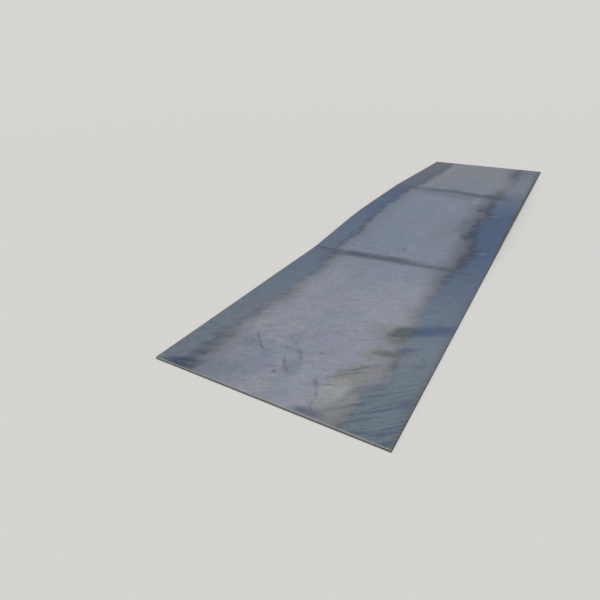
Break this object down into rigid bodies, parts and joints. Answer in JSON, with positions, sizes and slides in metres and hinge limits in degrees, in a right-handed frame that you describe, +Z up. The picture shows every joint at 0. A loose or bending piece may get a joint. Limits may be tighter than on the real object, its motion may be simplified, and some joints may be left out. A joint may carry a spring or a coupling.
{
  "type": "steel plate",
  "caption": "Long flat hot-rolled steel plate with mill scale, creased across its width, with a low wave between the creases.",
  "frame": {"origin": "on the floor, under the middle of the plate's overall box", "axes": "+X runs along the plate, from the end of its flat run to the end of its falling run, +Y runs across it and +Z points up"},
  "size_m": [5.997, 1.5, 0.0767],
  "materials": {
    "mill_scale": "matt hot-rolled mill scale, grey in the middle and blue along both long edges"
  },
  "bodies": {
    "root": {"steel_plate": "mill_scale"}
  },
  "joints": []
}
